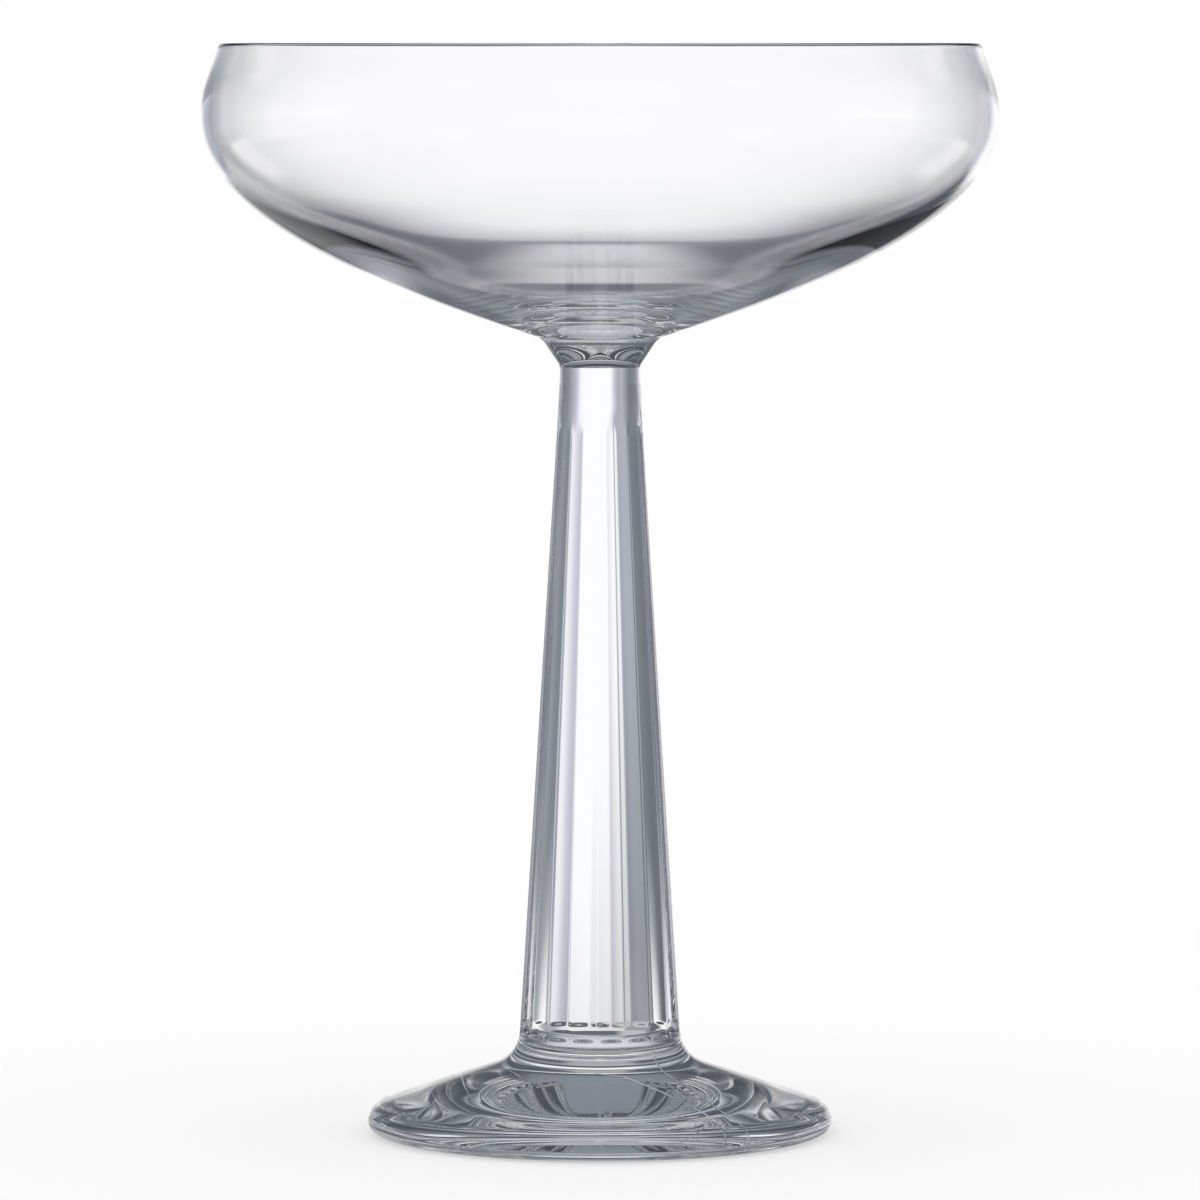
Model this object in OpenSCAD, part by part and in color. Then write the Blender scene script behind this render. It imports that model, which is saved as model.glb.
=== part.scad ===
// Stemmed coupe glass: a shallow bowl, a merese, a fluted stem and a round foot, fused into one.
// The frame has +Z up, with the origin at the centre of the foot on the table.

/* [Glass] */
// Height of the whole glass, from the table to the top of the rim
total_h = 150; // [130:0.5:175]

/* [Bowl] */
// Outside diameter of the bowl at its widest line
bowl_d = 109.2; // [104:0.1:116]
// Outside diameter at the start of the round rim
rim_d = 104.5; // [99:0.1:107]
// Height of the bowl, from the merese to the top of the rim
bowl_h = 40.1; // [34:0.1:48]
// Height of the rim above the widest line
lip_h = 9.7; // [7:0.1:13]
// Lean of the lip towards the axis, in degrees from upright
lip_lean = 15; // [8:0.5:20]
// Rise of the bowl's underside where it leaves the merese, in degrees
under_slope = 18.2; // [14:0.1:24]
// Thickness of the glass at the rim
rim_wall = 1.1; // [0.8:0.05:1.6]
// Thickness of the glass at the widest line
side_wall = 1.4; // [1.1:0.05:2]
// Thickness of the glass at the bottom of the bowl, over the merese
floor_wall = 3.2; // [2.4:0.1:4.2]
// Slope of the inside at the heel, where the side turns into the bottom, in degrees
heel_slope = 23.9; // [22:0.1:26]

/* [Merese] */
// Diameter of the merese where it meets the bowl
merese_d = 18; // [15:0.1:22]
// Slope of the side of the merese, in degrees above level
merese_slope = 56; // [45:1:65]
// Radius of the hollow corner under the bowl
merese_flare_r = 2.8; // [1:0.1:3.2]
// Width of the merese's top outside that corner
merese_lip_w = 0.1; // [0.05:0.05:0.5]
// Radius of the hollow corner at the neck
merese_waist_r = 1; // [0.5:0.1:1.5]
// Plain height of the merese below that corner
merese_neck_h = 0.35; // [0.1:0.05:1]

/* [Stem] */
// Diameter of the neck, at the top of the stem
neck_d = 11.1; // [9.5:0.1:13]
// Diameter of the stem where it stands on the foot
stem_d = 22.4; // [18:0.1:23]
// Length of the plain round neck above the taper
neck_h = 1.8; // [1:0.1:6]
// Number of flutes round the stem
flute_count = 18; // [12:1:20]
// Radius of each flute's hollow, across the flute
flute_r = 9; // [7:0.5:10]
// Width of the plain ridge between two flutes at the bottom
ridge_w = 0.3; // [0.3:0.05:0.8]
// Turn of the flutes about the axis, in degrees
flute_turn = 18; // [0:1:20]
// Plain length of the stem below the flutes
flute_foot_gap = 0.4; // [0.4:0.1:3]
// Plain length of the stem above the flutes
flute_neck_gap = 4.9; // [3.5:0.1:12]

/* [Foot] */
// Diameter of the foot
foot_d = 64.1; // [56:0.1:76]
// Slope of the upper face of the foot, in degrees
foot_slope = 18.8; // [14:0.1:22]
// Height of the foot's edge, where the upper face would meet it unrounded
edge_h = 3.6; // [3.1:0.1:5]
// Radius of the round upper corner of the edge
edge_r = 2.7; // [1.6:0.1:3]
// Width of the round lower side of the edge
edge_low_w = 3.3; // [2:0.1:4.5]
// Width of the flat ring that the glass stands on
rest_w = 1.6; // [1:0.1:3]
// Height of the hollow under the middle of the foot
hollow_h = 1.9; // [1.2:0.1:3.5]
// Radius of the hollow corner round the boss
boss_fillet_r = 5.2; // [3.5:0.1:6.5]
// Slope of the boss's side where the stem stands on it, in degrees above level
boss_slope = 74; // [70:1:84]
// Plain length of the boss's side above that corner
boss_h = 0.1; // [0.1:0.1:2]

/* [Hidden] */

blown_colour = [0.80, 0.84, 0.87, 0.4];
pressed_colour = [0.74, 0.78, 0.82, 0.5];

// Number of steps in each curve of an outline
curve_steps = 14;
$fn = 96;

// Where the upper face of the foot would meet the side of the boss unrounded
boss_side = boss_fillet_r * tan((boss_slope - foot_slope) / 2) + boss_h;
boss_root_r = stem_d / 2 + boss_side * cos(boss_slope);
boss_root_z = edge_h + (foot_d / 2 - boss_root_r) * tan(foot_slope);
// Height of the foot, with the boss that the stem stands on
foot_h = boss_root_z + boss_side * sin(boss_slope);

// The merese's side, from the upright corner at its waist to the knee under the bowl, and its height
merese_under_w = merese_lip_w + merese_flare_r * tan((merese_slope - under_slope) / 2);
merese_knee_r = merese_d / 2 - merese_under_w * cos(under_slope);
merese_waist_z = merese_neck_h + merese_waist_r * tan((90 - merese_slope) / 2);
merese_knee_z = merese_waist_z + (merese_knee_r - neck_d / 2) * tan(merese_slope);
merese_h = merese_knee_z + merese_under_w * sin(under_slope);

// Heights of the fused joints, and the length of the stem between two of them
bowl_z = total_h - bowl_h;
merese_z = bowl_z - merese_h;
stem_z = foot_h;
stem_h = merese_z - stem_z;
wide_z = total_h - lip_h;

// Reach of the outline's curves, as shares of the stretch that each one spans
belly_under_share = 0.5;
belly_side_share = 0.475;
lip_curve_share = 0.41;
inside_wide_share = 0.33;
inside_heel_share = 0.4;
bottom_heel_share = 0.38;
bottom_centre_share = 0.33;
hollow_top_share = 0.9;
hollow_rim_share = 0.29;
hollow_rise_share = 0.93;

// Place of the heel, as shares of the inside's widest radius and of its depth
heel_r_share = 0.639;
heel_z_share = 0.309;

// A direction in the plane of an outline, at an angle above the radius
function dir(angle) = [cos(angle), sin(angle)];

// A cubic curve from a to d that leaves a towards b and reaches d from c
function curve(a, b, c, d) = [
    for (i = [0:curve_steps])
        let (t = i / curve_steps, u = 1 - t)
        u * u * u * a + 3 * u * u * t * b + 3 * u * t * t * c + t * t * t * d
];

// A cubic curve that leaves a and reaches b at two angles, with reaches that are shares of their distance
function sweep(a, a_angle, a_share, b, b_angle, b_share) =
    let (length = norm(b - a))
    curve(a, a + dir(a_angle) * length * a_share, b - dir(b_angle) * length * b_share, b);

// An arc of an ellipse with half axes w and h about centre c
function arc(c, w, h, from, to) = [
    for (i = [0:curve_steps])
        let (angle = from + (to - from) * i / curve_steps)
        c + [w * cos(angle), h * sin(angle)]
];

// The arc of radius r that rounds the corner b between the lines from a and to c
function corner(a, b, c, r) =
    let (
        to_a = (a - b) / norm(a - b),
        to_c = (c - b) / norm(c - b),
        half = acos(to_a * to_c) / 2,
        middle = (to_a + to_c) / norm(to_a + to_c),
        centre = b + middle * r / sin(half),
        start = b + to_a * r / tan(half) - centre,
        end = b + to_c * r / tan(half) - centre,
        from = atan2(start[1], start[0]),
        turn = atan2(start[0] * end[1] - start[1] * end[0], start * end)
    )
    arc(centre, r, r, from, from + turn);

// The blown bowl, with its round rim, thin side and thick bottom
module bowl() {
    joint = [merese_d / 2, bowl_z];
    wide = [bowl_d / 2, wide_z];
    reach_r = wide[0] - joint[0];
    reach_z = wide[1] - joint[1];
    belly = curve(
        joint,
        joint + dir(under_slope) * reach_r * belly_under_share,
        wide - [0, reach_z * belly_side_share],
        wide
    );

    rim_centre = [rim_d / 2 - rim_wall / 2, total_h - rim_wall / 2];
    rim_out = rim_centre + dir(lip_lean) * rim_wall / 2;
    rim_in = rim_centre - dir(lip_lean) * rim_wall / 2;
    lip_lead = dir(90 + lip_lean) * lip_h * lip_curve_share;
    lip_out = curve(wide, wide + [0, lip_h * lip_curve_share], rim_out - lip_lead, rim_out);
    rim = arc(rim_centre, rim_wall / 2, rim_wall / 2, lip_lean, 180 + lip_lean);

    inner_wide = wide - [side_wall, 0];
    floor_centre = [0, bowl_z + floor_wall];
    depth = inner_wide[1] - floor_centre[1];
    lip_in = curve(rim_in, rim_in - lip_lead, inner_wide + [0, lip_h * lip_curve_share], inner_wide);
    heel = floor_centre + [inner_wide[0] * heel_r_share, depth * heel_z_share];
    side_in = sweep(inner_wide, 270, inside_wide_share, heel, 180 + heel_slope, inside_heel_share);
    bottom_in = sweep(heel, 180 + heel_slope, bottom_heel_share, floor_centre, 180, bottom_centre_share);

    color(blown_colour)
    rotate_extrude()
    polygon(concat([[0, bowl_z]], belly, lip_out, rim, lip_in, side_in, bottom_in));
}

// The merese, a solid button of glass that the bowl is fused to
module merese() {
    neck = [neck_d / 2, 0];
    waist = [neck_d / 2, merese_waist_z];
    knee = [merese_knee_r, merese_knee_z];
    top = [merese_d / 2, merese_h];

    color(pressed_colour)
    translate([0, 0, merese_z])
    rotate_extrude()
    polygon(concat(
        [[0, 0], neck],
        corner(neck, waist, knee, merese_waist_r),
        corner(waist, knee, top, merese_flare_r),
        [top, [0, merese_h]]
    ));
}

// Radius of the stem at a height above its foot
taper_h = stem_h - neck_h;
function stem_r_at(z) = (stem_d + (neck_d - stem_d) * z / taper_h) / 2;

// Angle from the middle of a flute to its edge, where the stem's radius is r
function flute_half_angle(r) = 180 / flute_count - asin(ridge_w / stem_d);

// Distance from the stem's axis to the axis of a flute's cutter, where the stem's radius is r
function cutter_at(r) =
    let (across = r * sin(flute_half_angle(r)))
    r * cos(flute_half_angle(r)) + sqrt(flute_r * flute_r - across * across);

// Length over which a flute runs out to the surface at its round end
function run_out(r) =
    let (depth = r - (cutter_at(r) - flute_r))
    sqrt(depth * (2 * flute_r - depth));

// One flute's cutter, a rod with round ends that leans with the taper
module flute_cutter() {
    low_z = flute_foot_gap + run_out(stem_r_at(flute_foot_gap));
    high_z = stem_h - flute_neck_gap - run_out(stem_r_at(stem_h - flute_neck_gap));
    low = [cutter_at(stem_r_at(low_z)), 0, low_z];
    high = [cutter_at(stem_r_at(high_z)), 0, high_z];
    length = norm(high - low);
    lean = atan2(low[0] - high[0], high_z - low_z);

    translate(low)
    rotate([0, -lean, 0]) {
        cylinder(h = length, r = flute_r);
        sphere(r = flute_r);
        translate([0, 0, length]) sphere(r = flute_r);
    }
}

// The pressed stem, which tapers up to a plain neck and is fluted all round
module stem() {
    color(pressed_colour)
    translate([0, 0, stem_z])
    difference() {
        union() {
            cylinder(h = taper_h, d1 = stem_d, d2 = neck_d);
            translate([0, 0, taper_h]) cylinder(h = neck_h, d = neck_d);
        }
        for (i = [0:flute_count - 1])
            rotate([0, 0, flute_turn + 360 * i / flute_count])
            flute_cutter();
    }
}

// The pressed foot: a boss, a sloping upper face, a round edge and a hollow underneath
module foot() {
    edge = [foot_d / 2, edge_h];
    boss_root = [boss_root_r, boss_root_z];
    boss_top = [stem_d / 2, foot_h];
    upper_edge = corner([edge[0], 0], edge, boss_root, edge_r);
    edge_low_h = upper_edge[0][1];
    rest_out = [edge[0] - edge_low_w, 0];
    rest_in = rest_out - [rest_w, 0];
    middle = [0, hollow_h];
    hollow = curve(
        middle,
        middle + [rest_in[0] * hollow_top_share, 0],
        rest_in + [-rest_in[0] * hollow_rim_share, hollow_h * hollow_rise_share],
        rest_in
    );

    color(pressed_colour)
    rotate_extrude()
    polygon(concat(
        hollow,
        arc(rest_out + [0, edge_low_h], edge_low_w, edge_low_h, -90, 0),
        upper_edge,
        corner(edge, boss_root, boss_top, boss_fillet_r),
        [boss_top, [0, foot_h]]
    ));
}

bowl();
merese();
stem();
foot();
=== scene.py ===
# %% [markdown]
# A stemmed coupe glass, made as the glassmaker makes it: a blown bowl, a merese, a pressed stem and a
# pressed foot, all fused hot. Clear glass has no colour of its own, so its look comes from exact curves,
# smooth normals and a studio with light and dark places to refract. The lesson builds the curves first,
# then the glass and its four pieces, then the studio.

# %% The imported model
import math

import bpy
import numpy as np
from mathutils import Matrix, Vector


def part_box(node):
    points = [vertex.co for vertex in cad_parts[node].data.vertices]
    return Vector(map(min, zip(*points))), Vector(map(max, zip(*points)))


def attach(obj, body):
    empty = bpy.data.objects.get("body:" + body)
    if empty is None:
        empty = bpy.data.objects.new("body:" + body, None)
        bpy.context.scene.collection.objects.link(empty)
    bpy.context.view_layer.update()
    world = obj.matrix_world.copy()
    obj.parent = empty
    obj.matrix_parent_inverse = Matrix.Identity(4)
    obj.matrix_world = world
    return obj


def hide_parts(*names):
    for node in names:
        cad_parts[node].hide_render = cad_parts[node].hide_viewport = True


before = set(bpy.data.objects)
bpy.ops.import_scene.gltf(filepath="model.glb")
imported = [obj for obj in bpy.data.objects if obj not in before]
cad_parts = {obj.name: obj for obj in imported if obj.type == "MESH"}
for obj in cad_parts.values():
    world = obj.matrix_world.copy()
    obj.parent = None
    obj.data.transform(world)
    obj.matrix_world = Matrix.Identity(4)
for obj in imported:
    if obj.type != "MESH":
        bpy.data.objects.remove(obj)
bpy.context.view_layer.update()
MM = 0.001

# %% [markdown]
# The fused joints are level planes. Each piece's box in the frame says where its joints lie, so the
# surfaces made here stand exactly where the solid model stands. The main diameters are the solid model's
# too. Every other size, such as the wall of the rim, is named once, in the cell that needs it. Sizes are in
# millimetres, and slopes and leans in degrees.

# %% Heights from the frame, and the main diameters
def height_mm(node):
    """The lowest and highest level of a node's box, in millimetres."""
    low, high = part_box(node)
    return low[2] / MM, high[2] / MM


bowl_z, total_h = height_mm("bowl")
merese_z = height_mm("merese")[0]
stem_z = height_mm("stem")[0]
bowl_d = 109.2
merese_d = 18.0
neck_d = 11.1
stem_d = 22.4
foot_d = 64.1
print(f"rim at {total_h:.1f}, joints at {bowl_z:.2f}, {merese_z:.2f} and {stem_z:.2f} mm")

# %% [markdown]
# A round glass is a profile turned about its axis. The profile is a chain of short curves in the plane of
# radius and height: cubic curves for the blown walls, arcs of ellipses for edges that the fire has rounded,
# and arcs that round the corner between two lines. Blender's own curve objects could draw it by hand, but a
# formula with named sizes can be fitted to a photograph and changed later. Each helper returns an array of
# points, so a whole outline is a few arrays joined together.

# %% Curves in the plane of radius and height
def direction(angle):
    """The unit direction at an angle in degrees above the radius: (cos a, sin a)."""
    return np.array([math.cos(math.radians(angle)), math.sin(math.radians(angle))])


def cubic(a, b, c, d, steps):
    """The cubic curve from a to d that leaves towards b and arrives from c.

    With t from 0 to 1 and u = 1 - t, the point is u^3 a + 3u^2t b + 3ut^2 c + t^3 d.
    """
    t = np.linspace(0.0, 1.0, steps + 1)[:, None]
    u = 1.0 - t
    a, b, c, d = (np.asarray(p, float) for p in (a, b, c, d))
    return u**3 * a + 3 * u**2 * t * b + 3 * u * t**2 * c + t**3 * d


def sweep(a, angle_a, share_a, b, angle_b, share_b, steps):
    """The cubic curve from a to b that leaves and arrives at two angles.

    Each handle reaches a share of the straight distance from a to b.
    """
    length = np.linalg.norm(b - a)
    after_a = a + direction(angle_a) * length * share_a
    before_b = b - direction(angle_b) * length * share_b
    return cubic(a, after_a, before_b, b, steps)


def arc(centre, half_w, half_h, start, end, steps):
    """The arc of an ellipse from one angle to another in degrees: centre + (half_w cos a, half_h sin a)."""
    angle = np.radians(np.linspace(start, end, steps + 1))
    return np.asarray(centre) + np.stack([half_w * np.cos(angle), half_h * np.sin(angle)], axis=1)


def corner(a, b, c, radius, steps):
    """The arc of a circle that rounds the corner b between the lines from a and to c.

    It touches each line at radius / tan h from b, and its centre is radius / sin h from b, on the line that
    halves the corner, where h is half the corner's angle.
    """
    a, b, c = (np.asarray(p, float) for p in (a, b, c))
    to_a = (a - b) / np.linalg.norm(a - b)
    to_c = (c - b) / np.linalg.norm(c - b)
    half = math.acos(to_a @ to_c) / 2
    centre = b + (to_a + to_c) / np.linalg.norm(to_a + to_c) * radius / math.sin(half)
    start = b + to_a * radius / math.tan(half) - centre
    end = b + to_c * radius / math.tan(half) - centre
    first = math.degrees(math.atan2(start[1], start[0]))
    turned = math.degrees(math.atan2(start[0] * end[1] - start[1] * end[0], start @ end))
    return arc(centre, radius, radius, first, first + turned, steps)


def line(a, b, steps):
    """Evenly spaced points from a to b: a (1 - t) + b t."""
    t = np.linspace(0.0, 1.0, steps + 1)[:, None]
    return np.asarray(a, float) * (1 - t) + np.asarray(b, float) * t


def chain(*parts):
    """The parts one after another, with each point that repeats the one before it left out."""
    same_point = 1e-6
    points = np.concatenate([np.atleast_2d(np.asarray(p, float)) for p in parts])
    step = np.linalg.norm(np.diff(points, axis=0), axis=1)
    return points[np.concatenate([[True], step > same_point])]


print("a square corner rounded to 1 mm:", corner([4, 0], [0, 0], [0, 4], 1.0, 3).round(2).tolist())

# %% [markdown]
# The mesh of a turned piece is a grid: one ring of vertices for each point of the profile. Where the
# profile touches the axis, the ring shrinks to one pole vertex and the grid closes with a fan, so the piece
# is a closed shell whose faces all point outwards. Blender's Spin or Screw could turn the profile, but they
# leave doubles at the axis and can't press flutes into the surface. The stem isn't round, so here the
# grid's radius may also change with the angle.

# %% From a profile to a closed mesh
sharp_angle = 30.0


def turned_mesh(name, profile, sides, radius_at=None):
    """A closed shell: point (i, k) is at the angle 2 pi k / sides, with profile point i's radius and height.

    The profile is in millimetres. It runs from the axis to the axis, upwards on the outside, and its first
    and last points become the poles. radius_at(radius, height, angle) may change the radius of the grid.
    """
    ring = profile[1:-1]
    angle = np.arange(sides) * 2 * np.pi / sides
    radius = np.repeat(ring[:, :1], sides, axis=1)
    height = np.repeat(ring[:, 1:], sides, axis=1)
    if radius_at is not None:
        radius = radius_at(radius, height, np.broadcast_to(angle, radius.shape))
    grid = np.stack([radius * np.cos(angle), radius * np.sin(angle), height], axis=2).reshape(-1, 3)
    poles = np.array([[0, 0, profile[0, 1]], [0, 0, profile[-1, 1]]])
    points = np.concatenate([grid, poles]) * MM

    # Vertex i * sides + k is point (i, k), and j is the next place round the ring
    rows = len(ring)
    i, k = np.meshgrid(np.arange(rows - 1), np.arange(sides), indexing="ij")
    j = (k + 1) % sides
    quads = np.stack([i * sides + k, i * sides + j, (i + 1) * sides + j, (i + 1) * sides + k], axis=2)

    # The two fans close the first and the last ring to their poles
    k = np.arange(sides)
    j = (k + 1) % sides
    low, high = rows * sides, rows * sides + 1
    last_ring = (rows - 1) * sides
    fan_low = np.stack([np.full(sides, low), j, k], axis=1)
    fan_high = np.stack([np.full(sides, high), last_ring + k, last_ring + j], axis=1)
    faces = quads.reshape(-1, 4).tolist() + fan_low.tolist() + fan_high.tolist()

    mesh = bpy.data.meshes.new(name)
    mesh.from_pydata(points.tolist(), [], faces)
    mesh.validate()
    mesh.polygons.foreach_set("use_smooth", np.ones(len(mesh.polygons), dtype=bool))
    mesh.set_sharp_from_angle(angle=math.radians(sharp_angle))
    piece = bpy.data.objects.new(name, mesh)
    bpy.context.scene.collection.objects.link(piece)
    return piece


print(f"turned pieces are smooth, apart from edges that turn by more than {sharp_angle:.0f} degrees")

# %% [markdown]
# A material is a small tree of nodes. One function turns a colour written as sRGB hex into the linear
# numbers that a shader takes, and one function adds a node of any kind, so that each material below reads
# as a list of what it is made of.

# %% Colours and nodes
def srgb(code):
    """A colour in sRGB hex, turned to linear: v / 12.92 when v is small, else ((v + 0.055) / 1.055)^2.4."""
    values = np.array([int(code[k:k + 2], 16) for k in (1, 3, 5)]) / 255
    linear = np.where(values <= 0.04045, values / 12.92, ((values + 0.055) / 1.055) ** 2.4)
    return (*linear.tolist(), 1.0)


def add_node(tree, kind, settings=None, links=None, stops=()):
    """A node with its settings by name, its socket values by name or number, and its incoming links.

    A colour ramp also takes its stops, each a place from 0 to 1 and a colour in sRGB hex.
    """
    node = tree.nodes.new(kind)
    for key, value in (settings or {}).items():
        if isinstance(key, str) and hasattr(node, key):
            setattr(node, key, value)
        else:
            node.inputs[key].default_value = value
    for key, source in (links or {}).items():
        tree.links.new(source, node.inputs[key])
    if stops:
        elements = node.color_ramp.elements
        elements.remove(elements[-1])
        for k, (at, code) in enumerate(stops):
            stop = elements[0] if k == 0 else elements.new(at)
            stop.position = at
            stop.color = srgb(code)
    return node


def new_material(name):
    """An empty node material, its tree and its output."""
    material = bpy.data.materials.new(name)
    material.use_nodes = True
    tree = material.node_tree
    tree.nodes.clear()
    return material, tree, tree.nodes.new("ShaderNodeOutputMaterial")


white = srgb("#ffffff")
black = srgb("#000000")
print("middle grey #808080 in linear values:", [round(v, 3) for v in srgb("#808080")[:3]])

# %% [markdown]
# The glass is soda-lime glass, which bends light with an index of 1.52. The fire has polished it, so it has
# no roughness at all: the eye sees it only by what it bends and mirrors. A Glass BSDF would do for that,
# but the Principled BSDF with full transmission carries over to other programs, and it has one more number
# to match. Its specular tint is a dark grey, which cuts what the glass mirrors head-on to about a fifth and
# leaves the edges alone, because the bowl in the photograph is almost free of reflections.
#
# The making leaves two marks that are far too fine to be modelled. A slow ripple, about a centimetre wide
# and a thousandth of a millimetre or two deep, makes the reflections swim a little. And on the foot a mould
# seam runs out from the stem, a raised line a third of a millimetre wide.

# %% Polished glass
glass_ior = 1.52
mirror_tint = "#787878"
seam_waver_mm = 5.0


def seam_bump(tree, place, surface, angle, half_w, line_h, wander):
    """The bump of a surface with the fine raised line where two halves of a mould met.

    The line lies where |p . a + wander (n - 1/2)| is under half_w. Here p is the point on the object, n is a
    noise, and a is the level direction square to the line, which runs out at the angle to the right of the
    front. Across the line the height is a soft step from line_h in the middle to nothing.
    """
    square_to_line = (math.cos(math.radians(angle)), math.sin(math.radians(angle)), 0)
    offset = add_node(tree, "ShaderNodeVectorMath", {"operation": "DOT_PRODUCT", 1: square_to_line},
                      {0: place.outputs["Object"]})
    waver = add_node(tree, "ShaderNodeTexNoise", {"Scale": 1 / (seam_waver_mm * MM), "Detail": 2.0},
                     {"Vector": place.outputs["Object"]})
    shift = add_node(tree, "ShaderNodeMath", {"operation": "MULTIPLY_ADD", 1: wander * MM},
                     {0: waver.outputs["Fac"], 2: offset.outputs["Value"]})
    centred = add_node(tree, "ShaderNodeMath", {"operation": "SUBTRACT", 1: wander * MM / 2},
                       {0: shift.outputs[0]})
    distance = add_node(tree, "ShaderNodeMath", {"operation": "ABSOLUTE"}, {0: centred.outputs[0]})
    step_down = {"interpolation_type": "SMOOTHSTEP", "From Max": half_w * MM, "To Min": 1.0, "To Max": 0.0}
    raised = add_node(tree, "ShaderNodeMapRange", step_down, {"Value": distance.outputs[0]})
    return add_node(tree, "ShaderNodeBump", {"Strength": 1.0, "Distance": line_h * MM},
                    {"Height": raised.outputs["Result"], "Normal": surface.outputs["Normal"]})


def soda_lime_glass(name, tint, ripple_mm, ripple_depth_mm, seam=None):
    """Clear, fire-polished soda-lime glass with a slow ripple of a width and depth in millimetres.

    A seam is its angle to the right of the front in degrees, then its half width, height and wander in
    millimetres.
    """
    material, tree, output = new_material(name)
    place = add_node(tree, "ShaderNodeTexCoord")
    ripple = add_node(tree, "ShaderNodeTexNoise", {"Scale": 1 / (ripple_mm * MM), "Detail": 1.0},
                      {"Vector": place.outputs["Object"]})
    surface = add_node(tree, "ShaderNodeBump", {"Strength": 1.0, "Distance": ripple_depth_mm * MM},
                       {"Height": ripple.outputs["Fac"]})
    if seam:
        surface = seam_bump(tree, place, surface, *seam)
    glass = add_node(tree, "ShaderNodeBsdfPrincipled",
                     {"Base Color": srgb(tint), "Roughness": 0.0, "IOR": glass_ior,
                      "Transmission Weight": 1.0, "Specular Tint": srgb(mirror_tint)},
                     {"Normal": surface.outputs["Normal"]})
    tree.links.new(glass.outputs["BSDF"], output.inputs["Surface"])
    return material


# Blown glass: a wide, soft ripple from the breath and the turning, and almost no colour in its thin wall
blown = soda_lime_glass("blown_soda_lime_glass", "#fefeff", ripple_mm=18.0, ripple_depth_mm=0.002)
# Pressed glass: a shorter, shallower ripple from the mould, and a trace of cold colour in its thick body
pressed_look = {"tint": "#fcfdff", "ripple_mm": 12.0, "ripple_depth_mm": 0.0012}
pressed = soda_lime_glass("pressed_soda_lime_glass", **pressed_look)
# The foot has the same glass with the mould's seam, a fine bright and dark line on its front right
foot_seam = (39.0, 0.16, 0.07, 0.5)
pressed_foot = soda_lime_glass("pressed_soda_lime_glass_with_seam", **pressed_look, seam=foot_seam)
print("glasses:", [glass.name for glass in (blown, pressed, pressed_foot)])

# %% [markdown]
# The glass of a fused joint is one body of glass, so light crosses it without bending. Two closed shells
# that touch would bend it twice. The pieces could be joined into one mesh, but then they would no longer be
# four pieces. So the level faces of a joint get a finish of their own, which lets light straight through,
# and only the outer faces are polished glass. Cycles then stays inside the glass from one piece to the
# next.

# %% The finish of a fused joint, and how a piece is finished
level_enough = 0.999
joint_gap_mm = 0.001

# Inside a hot joint the eye sees nothing at all, only what lies behind it
joint, tree, output = new_material("fused_joint_face")
clear_joint = add_node(tree, "ShaderNodeBsdfTransparent", {"Color": white})
tree.links.new(clear_joint.outputs["BSDF"], output.inputs["Surface"])


def finish_piece(piece, node, glass, joint_heights):
    """Gives a piece its glass and its joints' finish, and puts it in the frame for its node.

    A face is on a joint when it is level, its normal's height over level_enough, and its middle is within
    joint_gap_mm of one of the joint heights.
    """
    mesh = piece.data
    mesh.materials.append(glass)
    mesh.materials.append(joint)
    centres = np.empty(len(mesh.polygons) * 3)
    normals = np.empty(len(mesh.polygons) * 3)
    mesh.polygons.foreach_get("center", centres)
    mesh.polygons.foreach_get("normal", normals)
    z = centres.reshape(-1, 3)[:, 2] / MM
    is_level = np.abs(normals.reshape(-1, 3)[:, 2]) > level_enough
    at_joint = np.zeros(len(z), dtype=bool)
    for height in joint_heights:
        at_joint |= is_level & (np.abs(z - height) < joint_gap_mm)
    mesh.polygons.foreach_set("material_index", at_joint.astype(np.int32))
    mesh.update()
    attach(piece, "root")
    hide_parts(node)
    size = [round(v / MM, 1) for v in piece.dimensions]
    print(f"{piece.name}: {size} mm, {len(mesh.polygons)} faces, {int(at_joint.sum())} of them on a joint")


# %% [markdown]
# The bowl is one blown gather. Its outside leaves the merese at a low slope, sweeps up to the widest line
# and leans in over the lip, to a rim that the fire has drawn round. The outside is one cubic curve up to
# the widest line and one above it, so that it has no kink anywhere, as a blown wall has none. A share says
# how far a curve's handle reaches, as a part of the way that the curve goes.

# %% The outside of the blown bowl
rim_d = 104.5
rim_wall = 1.1
lip_h = 9.7
lip_lean = 15.0
lip_curve_share = 0.41
under_slope = 18.2
belly_under_share = 0.5
belly_side_share = 0.475
belly_steps = 90
lip_steps = 24
rim_steps = 16

wide = np.array([bowl_d / 2, total_h - lip_h])
bowl_joint = np.array([merese_d / 2, bowl_z])
reach = wide - bowl_joint
belly = cubic(bowl_joint, bowl_joint + direction(under_slope) * reach[0] * belly_under_share,
              wide - [0, reach[1] * belly_side_share], wide, belly_steps)
rim_centre = np.array([rim_d / 2 - rim_wall / 2, total_h - rim_wall / 2])
rim_out = rim_centre + direction(lip_lean) * rim_wall / 2
rim_in = rim_centre - direction(lip_lean) * rim_wall / 2
lip_lead = direction(90 + lip_lean) * lip_h * lip_curve_share
lip_out = cubic(wide, wide + [0, lip_h * lip_curve_share], rim_out - lip_lead, rim_out, lip_steps)
rim = arc(rim_centre, rim_wall / 2, rim_wall / 2, lip_lean, 180 + lip_lean, rim_steps)
print(f"the belly goes out by {reach[0]:.1f} mm and up by {reach[1]:.1f} mm, the lip up by {lip_h:.1f} mm")

# %% [markdown]
# The inside stays close to the outside down to the heel, where the side turns into the bottom, and the
# glass is thickest just inside the heel. The wall is a lens there. It bends the view down past the lower
# edge of the bright panel behind the glass, so a grey crescent lies under the clear upper bowl. The
# crescent is all that the photograph shows of the inner curve, so the heel's slope and place were fitted to
# it.

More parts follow.
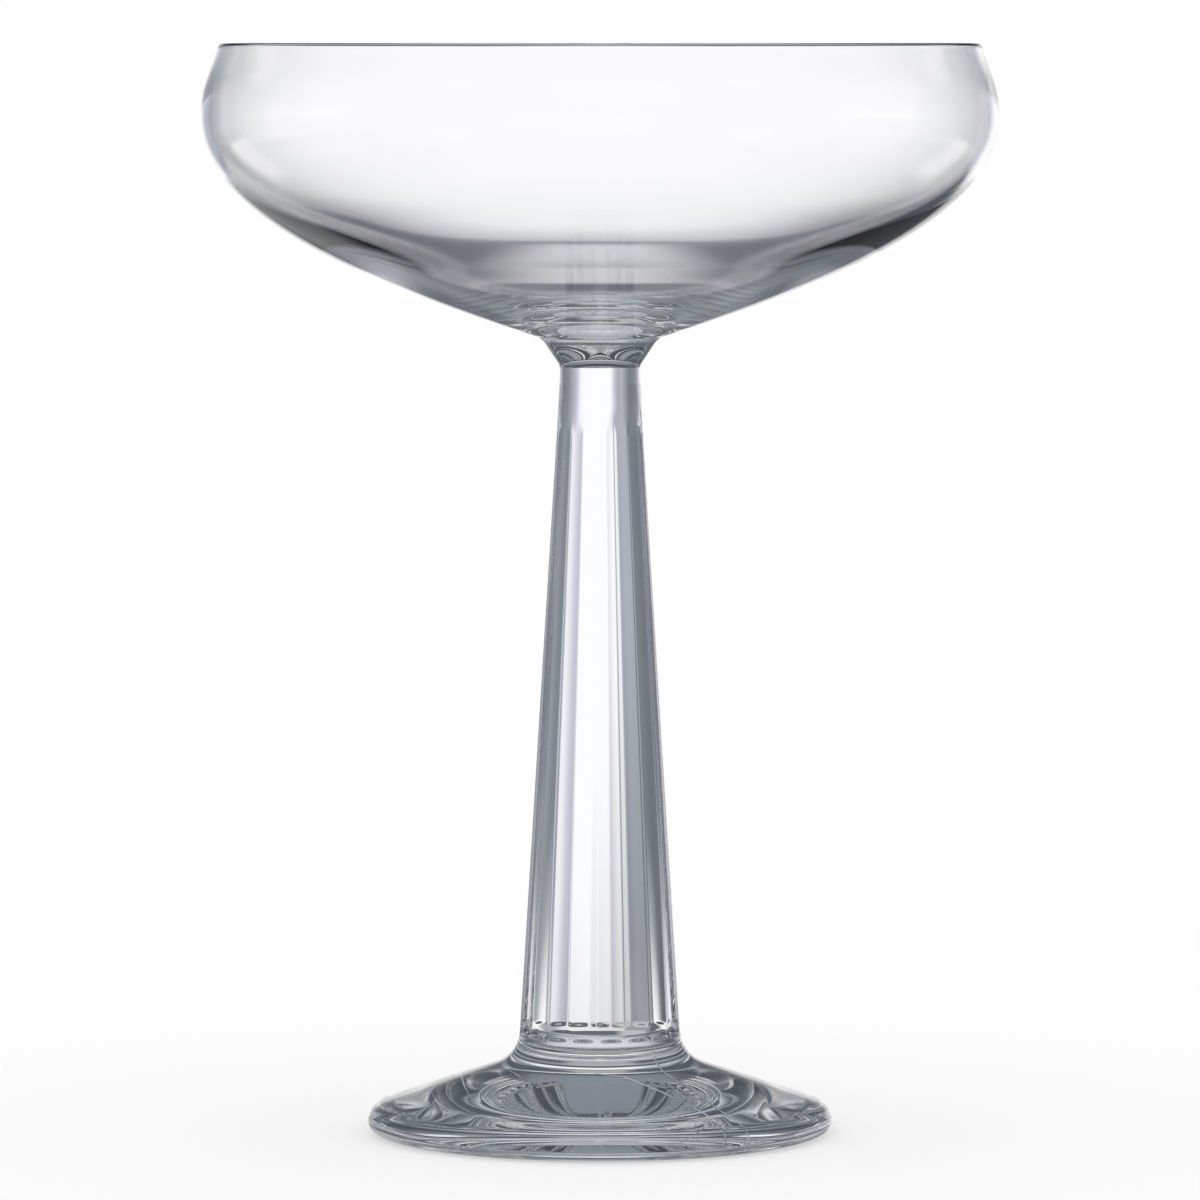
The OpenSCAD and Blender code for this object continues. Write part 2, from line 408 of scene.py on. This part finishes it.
# %% The inside of the blown bowl
side_wall = 1.4
floor_wall = 3.2
heel_slope = 23.9
heel_r_share, heel_z_share = 0.639, 0.309
inside_wide_share, inside_heel_share = 0.33, 0.4
bottom_heel_share, bottom_centre_share = 0.38, 0.33
straight_down, straight_in = 270, 180
hollow_steps = 60
bowl_sides = 256

inner_wide = wide - [side_wall, 0]
floor_centre = np.array([0, bowl_z + floor_wall])
depth = inner_wide[1] - floor_centre[1]
lip_in = cubic(rim_in, rim_in - lip_lead, inner_wide + [0, lip_h * lip_curve_share], inner_wide, lip_steps)
heel = floor_centre + [inner_wide[0] * heel_r_share, depth * heel_z_share]
hollow_side = sweep(inner_wide, straight_down, inside_wide_share,
                    heel, straight_in + heel_slope, inside_heel_share, hollow_steps)
hollow_floor = sweep(heel, straight_in + heel_slope, bottom_heel_share,
                     floor_centre, straight_in, bottom_centre_share, hollow_steps)
bowl_profile = chain([0, bowl_z], belly, lip_out, rim, lip_in, hollow_side, hollow_floor)
bowl = turned_mesh("bowl_blown", bowl_profile, bowl_sides)
finish_piece(bowl, "bowl", blown, [bowl_z])

# %% [markdown]
# The merese is a button of hot glass that joins the bowl to the stem. Its side is a short cone with a
# hollow corner at each end, and both its ends are fused joints. The Bevel modifier could round a plain
# cone, but the lower corner is much tighter than the upper one, so each gets its own arc in the profile.

# %% The merese
merese_slope = 56.0
merese_flare_r = 2.8
merese_waist_r = 1.0
merese_neck_h = 0.35
merese_lip_w = 0.1
waist_steps = 12
flare_steps = 14
merese_sides = 512

under_w = merese_lip_w + merese_flare_r * math.tan(math.radians((merese_slope - under_slope) / 2))
waist_h = merese_neck_h + merese_waist_r * math.tan(math.radians((90 - merese_slope) / 2))
neck = np.array([neck_d / 2, merese_z])
waist = neck + [0, waist_h]
knee = bowl_joint - direction(under_slope) * under_w
merese_profile = chain([0, merese_z], neck, corner(neck, waist, knee, merese_waist_r, waist_steps),
                       corner(waist, knee, bowl_joint, merese_flare_r, flare_steps), bowl_joint, [0, bowl_z])
merese = turned_mesh("merese_button", merese_profile, merese_sides)
finish_piece(merese, "merese", pressed, [merese_z, bowl_z])

# %% [markdown]
# The stem is pressed in a mould. It tapers evenly up to a short round neck, and 18 shallow flutes are
# pressed into it. Across a flute the surface is a hollow arc, nearly flat, and the ridges between flutes
# stay on the cone. A flute ends almost squarely over the foot, and fades out softly under the neck, where
# the hot glass was drawn. A boolean cut for each flute would leave ragged faces at its ends, which show in
# clear glass, so the flutes are a change of the grid's radius instead.

# %% The shape of a flute
neck_h = 1.8
flute_count = 18
flute_r = 30.0
flute_turn = 18.0
ridge_w = 0.3
flute_foot_gap, flute_foot_fade = 0.5, 0.7
flute_neck_gap, flute_neck_fade = 4.9, 4.5
taper_h = merese_z - stem_z - neck_h


def stem_radius(height):
    """The radius of the stem over its ridges at a height: an even taper, then a plain neck."""
    share = np.clip((height - stem_z) / taper_h, 0, 1)
    return (stem_d + (neck_d - stem_d) * share) / 2


def ease(t):
    """A soft step from 0 to 1: 3t^2 - 2t^3."""
    t = np.clip(t, 0, 1)
    return t * t * (3 - 2 * t)


def flute_cut(radius, height, angle):
    """The radius of the fluted stem: where a ray at the angle meets the round hollow of its nearest flute.

    The hollow is a circle of flute_r about a centre at distance c from the axis, on the flute's middle line.
    At the angle a from that line its near side is c cos a - sqrt(flute_r^2 - (c sin a)^2) from the axis.
    """
    pitch = 2 * np.pi / flute_count
    off = (angle - math.radians(flute_turn) + pitch / 2) % pitch - pitch / 2
    half = pitch / 2 - math.asin(ridge_w / stem_d)
    across = radius * math.sin(half)
    centre = radius * math.cos(half) + np.sqrt(flute_r**2 - across**2)
    near_side = centre * np.cos(off) - np.sqrt(flute_r**2 - (centre * np.sin(off))**2)
    cut = np.maximum(radius - near_side, 0)
    from_foot = ease((height - stem_z - flute_foot_gap) / flute_foot_fade)
    from_neck = ease((merese_z - flute_neck_gap - height) / flute_neck_fade)
    return radius - cut * from_foot * from_neck


print(f"{flute_count} flutes, {math.pi * stem_d / flute_count:.1f} mm apart at the foot")

# %% [markdown]
# The rings of the grid stand close together where the flutes end, at the foot and under the neck, and
# further apart between. Each flute has 30 columns, so that its hollow bends light as smoothly as the real
# one.

# %% The fluted stem
foot_end_h = 4.0
neck_end_h = 12.0
foot_end_steps, middle_steps, neck_end_steps = 40, 60, 70
flute_columns = 30

foot_end = line([0, stem_z], [0, stem_z + foot_end_h], foot_end_steps)
stem_middle = line([0, stem_z + foot_end_h], [0, merese_z - neck_end_h], middle_steps)
neck_end = line([0, merese_z - neck_end_h], [0, merese_z], neck_end_steps)
stem_side = chain(foot_end, stem_middle, neck_end)
stem_side[:, 0] = stem_radius(stem_side[:, 1])
stem_profile = chain([0, stem_z], stem_side, [0, merese_z])
stem = turned_mesh("stem_fluted", stem_profile, flute_count * flute_columns, flute_cut)
finish_piece(stem, "stem", pressed, [stem_z, merese_z])

# %% [markdown]
# The foot is pressed as one disc with a boss. From the boss a hollow corner runs out to a straight slope, a
# round edge turns under, and a flat ring carries the glass. Inside the ring the underside rises in a
# shallow hollow, which shows as a light line round the edge. All of it is one profile again, from the
# middle of the hollow outwards and back in to the joint.

# %% The foot
foot_slope = 18.8
edge_h = 3.6
edge_r = 2.7
edge_low_w = 3.3
rest_w = 1.6
hollow_h = 1.9
hollow_top_share, hollow_rim_share, hollow_rise_share = 0.9, 0.29, 0.93
boss_fillet_r = 5.2
boss_slope = 74.0
boss_h = 0.1
underside_steps, rest_steps, edge_steps, slope_steps, fillet_steps = 60, 4, 24, 30, 30
foot_sides = 512

edge = np.array([foot_d / 2, edge_h])
boss_side = boss_fillet_r * math.tan(math.radians((boss_slope - foot_slope) / 2)) + boss_h
boss_top = np.array([stem_d / 2, stem_z])
boss_root = boss_top - direction(180 - boss_slope) * boss_side
boss_fillet = corner(edge, boss_root, boss_top, boss_fillet_r, fillet_steps)
upper_edge = corner([edge[0], 0], edge, boss_root, edge_r, edge_steps)
edge_low_h = upper_edge[0, 1]
rest_out = np.array([edge[0] - edge_low_w, 0])
rest_in = rest_out - [rest_w, 0]
lower_edge = arc(rest_out + [0, edge_low_h], edge_low_w, edge_low_h, -90, 0, edge_steps)
hollow_top = np.array([0, hollow_h])
underside = cubic(hollow_top, hollow_top + [rest_in[0] * hollow_top_share, 0],
                  rest_in + [-rest_in[0] * hollow_rim_share, hollow_h * hollow_rise_share], rest_in,
                  underside_steps)
foot_profile = chain(underside, line(rest_in, rest_out, rest_steps), lower_edge, upper_edge,
                     line(upper_edge[-1], boss_fillet[0], slope_steps), boss_fillet, boss_top, [0, stem_z])
foot = turned_mesh("foot_pressed", foot_profile, foot_sides)
finish_piece(foot, "foot", pressed_foot, [stem_z])

# %% [markdown]
# The camera stands level with the rim, 1.1 m away, and tilts down a little. A product photographer stands
# back like this, with a long lens, to keep a glass free of distortion. The lens follows from how many
# pixels of the photograph a ray at 45 degrees would be from the middle: that number over the picture's
# width is the focal length over the sensor's width.

# %% The camera
camera_distance = 1.1
camera_tilt = 3.971
picture_px = 1200
focal_px = 8022.9
sensor_mm = 36.0
nearest_m, farthest_m = 0.01, 50.0

camera_data = bpy.data.cameras.new("studio_camera")
camera_data.sensor_width = sensor_mm
camera_data.lens = sensor_mm * focal_px / picture_px
camera_data.clip_start = nearest_m
camera_data.clip_end = farthest_m
camera = bpy.data.objects.new("studio_camera", camera_data)
camera.location = (0, -camera_distance, total_h * MM)
camera.rotation_euler = (math.radians(90 - camera_tilt), 0, 0)
bpy.context.scene.collection.objects.link(camera)
bpy.context.scene.camera = camera
print(f"lens {camera_data.lens:.1f} mm")

# %% [markdown]
# The table is a white acrylic sheet. Paint alone would turn grey in its own shadow, and glow alone would
# lose the glass's shadow. So the sheet is half paint, which keeps the shadow, and half an even glow, which
# keeps it as pale as in a light tent. What the glass shows is the studio round it, so rays that have met
# the glass pass the sheet.

# %% The floor
sheet_half_m = 3.0
paint_share = 0.5
glow_share = 0.5


def met_glass(tree):
    """A node that is 1 for a ray that the glass has bent or mirrored, and 0 for any other."""
    ray = add_node(tree, "ShaderNodeLightPath")
    return add_node(tree, "ShaderNodeMath", {"operation": "MAXIMUM"},
                    {0: ray.outputs["Is Glossy Ray"], 1: ray.outputs["Is Transmission Ray"]})


corners = [(-sheet_half_m, -sheet_half_m, 0), (sheet_half_m, -sheet_half_m, 0),
           (sheet_half_m, sheet_half_m, 0), (-sheet_half_m, sheet_half_m, 0)]
floor_mesh = bpy.data.meshes.new("studio_floor")
floor_mesh.from_pydata(corners, [], [(0, 1, 2, 3)])
floor = bpy.data.objects.new("studio_floor", floor_mesh)
bpy.context.scene.collection.objects.link(floor)

# White acrylic: an even, shadow-soft white that runs into the background with no line
white_sheet, tree, output = new_material("white_acrylic_sheet")
paint = add_node(tree, "ShaderNodeBsdfDiffuse", {"Color": (paint_share, paint_share, paint_share, 1)})
glow = add_node(tree, "ShaderNodeEmission", {"Color": white, "Strength": glow_share})
both = add_node(tree, "ShaderNodeAddShader", None, {0: paint.outputs[0], 1: glow.outputs[0]})
passed = add_node(tree, "ShaderNodeBsdfTransparent")
sheet = add_node(tree, "ShaderNodeMixShader", None,
                 {0: met_glass(tree).outputs[0], 1: both.outputs[0], 2: passed.outputs[0]})
tree.links.new(sheet.outputs[0], output.inputs["Surface"])
floor_mesh.materials.append(white_sheet)
print(f"the sheet is {2 * sheet_half_m:.0f} m wide, half paint and half glow")

# %% [markdown]
# The studio round the glass is the world: a light tent drawn by direction alone. The camera and the sheet
# see plain white, and only the glass sees the tent. Boards and lamps could be built round the glass, but a
# board that suits one view stands in the way of another. A tent drawn by direction hides nothing. It repeats
# its panels in four quarters, so the glass has something light and something dark to show from every side.
#
# Two angles name a direction. The azimuth is 0 straight behind the glass and 180 degrees behind the camera.
# The elevation is 0 level with the glass and 90 degrees straight up. Later cells also need how far a
# direction is aside, which is the azimuth without its sign.

# %% The directions of the studio
world = bpy.data.worlds.new("studio")
bpy.context.scene.world = world
world.use_nodes = True
tree = world.node_tree
tree.nodes.clear()
world_output = tree.nodes.new("ShaderNodeOutputWorld")
place = add_node(tree, "ShaderNodeTexCoord")
axes = add_node(tree, "ShaderNodeSeparateXYZ", None, {0: place.outputs["Generated"]})
azimuth = add_node(tree, "ShaderNodeMath", {"operation": "ARCTAN2"},
                   {0: axes.outputs["X"], 1: axes.outputs["Y"]})
aside = add_node(tree, "ShaderNodeMath", {"operation": "ABSOLUTE"}, {0: azimuth.outputs[0]})
elevation = add_node(tree, "ShaderNodeMath", {"operation": "ARCSINE"}, {0: axes.outputs["Z"]})
print("world:", world.name)

# %% [markdown]
# A colour ramp turns a number from 0 to 1 into a colour, so each angle is first brought to that range.
# Round the glass a ramp covers a quarter turn and repeats, with the middle of a panel at 1/2. Up and down
# it covers the half turn from straight down to straight up, with the horizon at 1/2.

# %% From angles to ramps
quarter = add_node(tree, "ShaderNodeMath", {"operation": "MULTIPLY_ADD", 1: 2 / math.pi, 2: 0.5},
                   {0: azimuth.outputs[0]})
turn = add_node(tree, "ShaderNodeMath", {"operation": "FRACT"}, {0: quarter.outputs[0]})
level = add_node(tree, "ShaderNodeMath", {"operation": "MULTIPLY_ADD", 1: 1 / math.pi, 2: 0.5},
                 {0: elevation.outputs[0]})


def round_stops(*stops):
    """Ramp stops from degrees to the right of a panel's middle: the place is 1/2 + degrees / 90."""
    return [(0.5 + degrees / 90, code) for degrees, code in stops]


def level_stops(*stops):
    """Ramp stops from degrees of elevation: the place is 1/2 + degrees / 180."""
    return [(0.5 + degrees / 180, code) for degrees, code in stops]


def soft_step(start, end, low, high):
    """Settings for a soft step from low to high while an angle goes from start to end, in degrees.

    The step is 3t^2 - 2t^3, where t is the share of the way from start to end.
    """
    return {"interpolation_type": "SMOOTHSTEP", "From Min": math.radians(start),
            "From Max": math.radians(end), "To Min": low, "To Max": high}


print(f"one degree is {1 / 90:.4f} of a ramp round the glass, and {1 / 180:.4f} of one up and down")

# %% [markdown]
# Each panel is white in its middle, up to 10 degrees to its left and 16 to its right, and falls off through
# greys to both sides, which gives the flutes of the stem their many tones. The lower edge of the panel
# behind the glass is what the bowl bends into the top of its crescent, so it is sharp, and it hangs a
# little askew, 1 degree higher on its left and 1 lower on its right, as the crescent's edge does. The other
# panels hang lower, which keeps the bowl clear from the sides and from behind.

# %% The white panels
side_drop = 4.5
side_starts, side_ends = 35, 60
askew_drop = 1.0
askew_reach = 12.0

panels = add_node(tree, "ShaderNodeValToRGB", None, {"Fac": turn.outputs[0]}, round_stops(
    (-45, "#7b8187"), (-36, "#71777d"), (-30, "#8a9096"), (-26, "#a2a7ad"), (-23, "#b2b6bd"),
    (-19, "#acb0b7"), (-16, "#b8bcc2"), (-13, "#dcdee4"), (-10, "#ffffff"), (16, "#ffffff"), (21, "#f2f3f7"),
    (24, "#ccced6"), (28, "#b4b7bf"), (32, "#a2a7ad"), (37, "#8d9399"), (41, "#7b8187"), (45, "#7b8187")))
lower = add_node(tree, "ShaderNodeMapRange", soft_step(side_starts, side_ends, 0, side_drop / 180),
                 {"Value": aside.outputs[0]})
dropped = add_node(tree, "ShaderNodeMath", {"operation": "ADD"}, {0: level.outputs[0], 1: lower.outputs[0]})
askew = add_node(tree, "ShaderNodeMapRange",
                 {"From Min": math.radians(-askew_reach), "From Max": math.radians(askew_reach),
                  "To Min": -askew_drop / 180, "To Max": askew_drop / 180}, {"Value": azimuth.outputs[0]})
hung = add_node(tree, "ShaderNodeMath", {"operation": "ADD"}, {0: dropped.outputs[0], 1: askew.outputs[0]})
panel_share = add_node(tree, "ShaderNodeValToRGB", None, {"Fac": hung.outputs[0]}, level_stops(
    (-90, "#000000"), (-40, "#000000"), (-30, "#464646"), (-14, "#4a4a4a"), (-12.8, "#6a6a6a"),
    (-11.9, "#cecece"), (-10.4, "#e8e8e8"), (-9, "#ffffff"), (5.5, "#ffffff"), (8, "#aaaaaa"),
    (11, "#6a6a6a"), (15, "#303030"), (18, "#000000")))
print("tones round a panel and up it:", len(panels.color_ramp.elements), len(panel_share.color_ramp.elements))

# %% [markdown]
# Above and below the panels the tent opens into a dark room, with a paler ceiling over it and a pale table
# under it. The dark between is what makes glass look like glass: the crescent of the bowl and the outlines
# of the stem and foot come from it. Over the camera the ceiling is dark too, because the far wall of the
# bowl would mirror it as a haze.

# %% The room
ceiling_shade = 0.75
shade_starts, shade_ends = 60, 130
ceiling_starts, ceiling_ends = 10, 30

room = add_node(tree, "ShaderNodeValToRGB", None, {"Fac": level.outputs[0]}, level_stops(
    (-90, "#dcdfe4"), (-66, "#d2d6dc"), (-57, "#bfc3c9"), (-48, "#7b8187"), (-40, "#4e545a"),
    (-20, "#4e545a"), (0, "#484e54"), (16, "#484e54"), (24, "#565c62"), (32, "#7b8187"), (48, "#8a9096"),
    (62, "#868c92"), (74, "#8d9298"), (90, "#989da3")))
over_camera = add_node(tree, "ShaderNodeMapRange", soft_step(shade_starts, shade_ends, 0, ceiling_shade),
                       {"Value": aside.outputs[0]})
upward = add_node(tree, "ShaderNodeMapRange", soft_step(ceiling_starts, ceiling_ends, 0, 1),
                  {"Value": elevation.outputs[0]})
shade = add_node(tree, "ShaderNodeMath", {"operation": "MULTIPLY"},
                 {0: over_camera.outputs[0], 1: upward.outputs[0]})
shaded_room = add_node(tree, "ShaderNodeMix", {"data_type": "RGBA", 7: black},
                       {0: shade.outputs[0], 6: room.outputs[0]})
tent = add_node(tree, "ShaderNodeMix", {"data_type": "RGBA"},
                {0: panel_share.outputs[0], 6: shaded_room.outputs[2], 7: panels.outputs[0]})
print(f"{len(room.color_ramp.elements)} tones in the room, {ceiling_shade:.0%} less light over the camera")

# %% [markdown]
# From 11 to 33 degrees below the horizon, white lobes of light stand at the corners of the tent and paler
# ones under the panels. They keep the bowl and the foot clear when they are seen from the sides, from
# behind or from above. Behind the glass they would fill the crescent of the front view, so a second ramp
# takes over there: it is dark in the middle and has one pale lobe on the left, where the crescent ends, and
# one towards the right corner.

# %% The low light
front_ends, quarters_start = 34, 42
camera_rise = 3.5
rise_starts, rise_ends = 95, 110

low_lobes = add_node(tree, "ShaderNodeValToRGB", None, {"Fac": turn.outputs[0]}, round_stops(
    (-45, "#ffffff"), (-40, "#ffffff"), (-35, "#8a8a8a"), (-29, "#404040"), (-14, "#404040"), (-9, "#b4b4b4"),
    (9, "#b4b4b4"), (14, "#404040"), (29, "#404040"), (35, "#8a8a8a"), (40, "#ffffff"), (45, "#ffffff")))
front_lobes = add_node(tree, "ShaderNodeValToRGB", None, {"Fac": turn.outputs[0]}, round_stops(
    (-32, "#000000"), (-26, "#b4b4b4"), (-12, "#b4b4b4"), (-7, "#000000"), (26, "#000000"), (32, "#8a8a8a"),
    (45, "#8a8a8a")))
away = add_node(tree, "ShaderNodeMapRange", soft_step(front_ends, quarters_start, 0, 1),
                {"Value": aside.outputs[0]})
lobes = add_node(tree, "ShaderNodeMix", {"data_type": "RGBA"},
                 {0: away.outputs[0], 6: front_lobes.outputs[0], 7: low_lobes.outputs[0]})
# Behind the camera the lobes stand a little higher
rise = add_node(tree, "ShaderNodeMapRange", soft_step(rise_starts, rise_ends, 0, -camera_rise / 180),
                {"Value": aside.outputs[0]})
raised = add_node(tree, "ShaderNodeMath", {"operation": "ADD"}, {0: level.outputs[0], 1: rise.outputs[0]})
lobe_height = add_node(tree, "ShaderNodeValToRGB", None, {"Fac": raised.outputs[0]}, level_stops(
    (-90, "#000000"), (-33, "#000000"), (-28, "#ffffff"), (-12, "#ffffff"), (-11, "#000000")))
lobe_share = add_node(tree, "ShaderNodeMath", {"operation": "MULTIPLY"},
                      {0: lobes.outputs[2], 1: lobe_height.outputs[0]})
around = add_node(tree, "ShaderNodeMix", {"data_type": "RGBA", 7: white},
                  {0: lobe_share.outputs[0], 6: tent.outputs[2]})
print(f"behind the camera the lobes stand {camera_rise} degrees higher")

# %% [markdown]
# Two small lights lie straight behind the glass, under the panel. A narrow strip is the pale patch in the
# middle of the crescent. Much lower, a wide and weak one brightens the table, which lights the middle of
# the foot. Each is a share of white: a soft step to the side times a ramp up and down.

# %% The strip and the bright table
# Each light: from where to where it fades out to the side, its strength, and where it lies up and down
strip = (0.2, 1.7, 0.75, level_stops(
    (-90, "#000000"), (-18.4, "#000000"), (-17.4, "#ffffff"), (-13.6, "#ffffff"), (-12.8, "#000000")))
bright_table = (8, 17, 0.32, level_stops(
    (-90, "#000000"), (-52, "#000000"), (-46, "#ffffff"), (-27, "#ffffff"), (-22, "#000000")))

for fade_start, fade_end, strength, stops in (strip, bright_table):
    sideways = add_node(tree, "ShaderNodeMapRange", soft_step(fade_start, fade_end, strength, 0),
                        {"Value": aside.outputs[0]})
    upright = add_node(tree, "ShaderNodeValToRGB", None, {"Fac": level.outputs[0]}, stops)
    light_share = add_node(tree, "ShaderNodeMath", {"operation": "MULTIPLY"},
                           {0: sideways.outputs[0], 1: upright.outputs[0]})
    around = add_node(tree, "ShaderNodeMix", {"data_type": "RGBA", 7: white},
                      {0: light_share.outputs[0], 6: around.outputs[2]})
    print(f"a light {2 * fade_end} degrees wide adds {strength:.0%} of white")

# %% [markdown]
# Last, the world answers by what kind of ray asks. A ray that the glass has bent or mirrored sees the tent.
# Any other, from the camera or from the sheet, sees plain white.

# %% What each ray sees
seen = add_node(tree, "ShaderNodeMix", {"data_type": "RGBA", 6: white},
                {0: met_glass(tree).outputs[0], 7: around.outputs[2]})
light = add_node(tree, "ShaderNodeBackground", None, {"Color": seen.outputs[2]})
tree.links.new(light.outputs[0], world_output.inputs["Surface"])
print(f"the studio is {len(tree.nodes)} nodes")

# %% [markdown]
# Light that crosses a glass meets many faces: each wall of the bowl has two, and inside the stem it is
# mirrored from flute to flute. A path that runs out of bounces ends black, so the limits are well above the
# defaults. The Standard view shows a colour as it is written, so white stays white.

# %% Light bounces and colour
light_bounces = 32
scene = bpy.context.scene
scene.view_settings.view_transform = "Standard"
scene.cycles.max_bounces = light_bounces
scene.cycles.transmission_bounces = light_bounces
scene.cycles.glossy_bounces = light_bounces
scene.cycles.transparent_max_bounces = light_bounces
print(f"a path may bounce {light_bounces} times")
